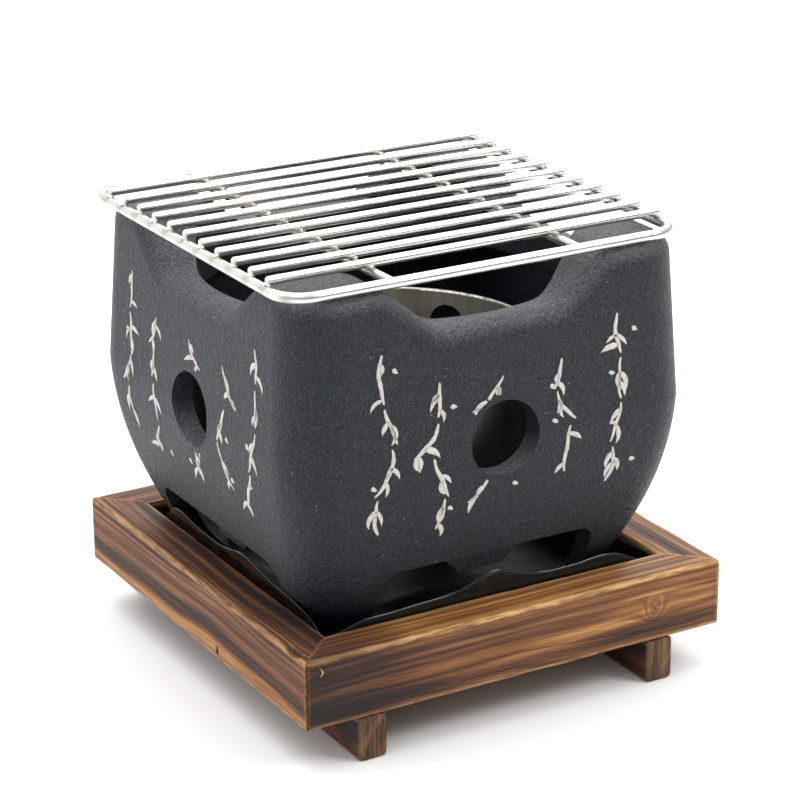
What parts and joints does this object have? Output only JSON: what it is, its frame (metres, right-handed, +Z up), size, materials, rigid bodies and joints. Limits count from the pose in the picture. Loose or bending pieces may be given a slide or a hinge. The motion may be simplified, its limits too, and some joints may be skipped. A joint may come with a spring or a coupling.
{
  "type": "hibachi grill",
  "caption": "Tabletop hibachi: a barrel-sided cast stove with notched rim and air arches, in a charred-wood tray, under a lift-off wire grate.",
  "frame": {"origin": "on the table, under the middle of the square tray", "axes": "+Z up, -Y towards the front rail, the grate's bars run along X"},
  "size_m": [0.155, 0.155, 0.1536],
  "materials": {
    "charred_wood": "torched and brushed softwood, satin",
    "nail_steel": "dulled wire nail",
    "liner_enamel": "thin sheet, glossy black",
    "coated_casting": "cast aluminium with a matt charcoal powder coat",
    "ring_steel": "brushed stainless sheet",
    "burner_steel": "pressed stainless sheet",
    "bright_wire": "polished stainless wire, spot welded"
  },
  "bodies": {
    "tray": {"rail_front": "charred_wood", "rail_right": "charred_wood", "rail_back": "charred_wood", "rail_left": "charred_wood", "base_panel": "charred_wood", "tray_liner": "liner_enamel", "runner_left": "charred_wood", "runner_right": "charred_wood", "panel_nails": "nail_steel", "mitre_nails": "nail_steel", "runner_nails": "nail_steel"},
    "stove": {"body_shell": "coated_casting"},
    "grate": {"grate_frame_wire": "bright_wire", "grate_cross_rod_left": "bright_wire", "grate_cross_rod_right": "bright_wire", "grate_bar_01": "bright_wire", "grate_bar_02": "bright_wire", "grate_bar_03": "bright_wire", "grate_bar_04": "bright_wire", "grate_bar_05": "bright_wire", "grate_bar_06": "bright_wire", "grate_bar_07": "bright_wire", "grate_bar_08": "bright_wire", "grate_bar_09": "bright_wire", "grate_bar_10": "bright_wire", "grate_bar_11": "bright_wire"},
    "ring": {"wind_ring": "ring_steel"},
    "burner": {"fuel_cup": "burner_steel", "burner_lid": "burner_steel", "shutter_rivet": "burner_steel"},
    "shutter": {"burner_shutter": "burner_steel"}
  },
  "joints": [
    {"name": "stove_lift", "type": "slide", "parent": "tray", "child": "stove", "axis": [0, 0, 1], "range_m": [0, 0.06]},
    {"name": "grate_lift", "type": "slide", "parent": "stove", "child": "grate", "axis": [0, 0, 1], "range_m": [0, 0.2]},
    {"name": "ring_lift", "type": "slide", "parent": "stove", "child": "ring", "axis": [0, 0, 1], "range_m": [0, 0.1]},
    {"name": "burner_lift", "type": "slide", "parent": "stove", "child": "burner", "axis": [0, 0, 1], "range_m": [0, 0.15]},
    {"name": "shutter_swing", "type": "hinge", "parent": "burner", "child": "shutter", "pos_m": [0.0185, 0.001, 0.0856], "axis": [0, 0, 1], "range_deg": [0, 85]}
  ],
  "couplings": [
    {"joint": "ring_lift", "follows": "grate_lift", "ratio": 0.5},
    {"joint": "burner_lift", "follows": "grate_lift", "ratio": 0.75}
  ]
}
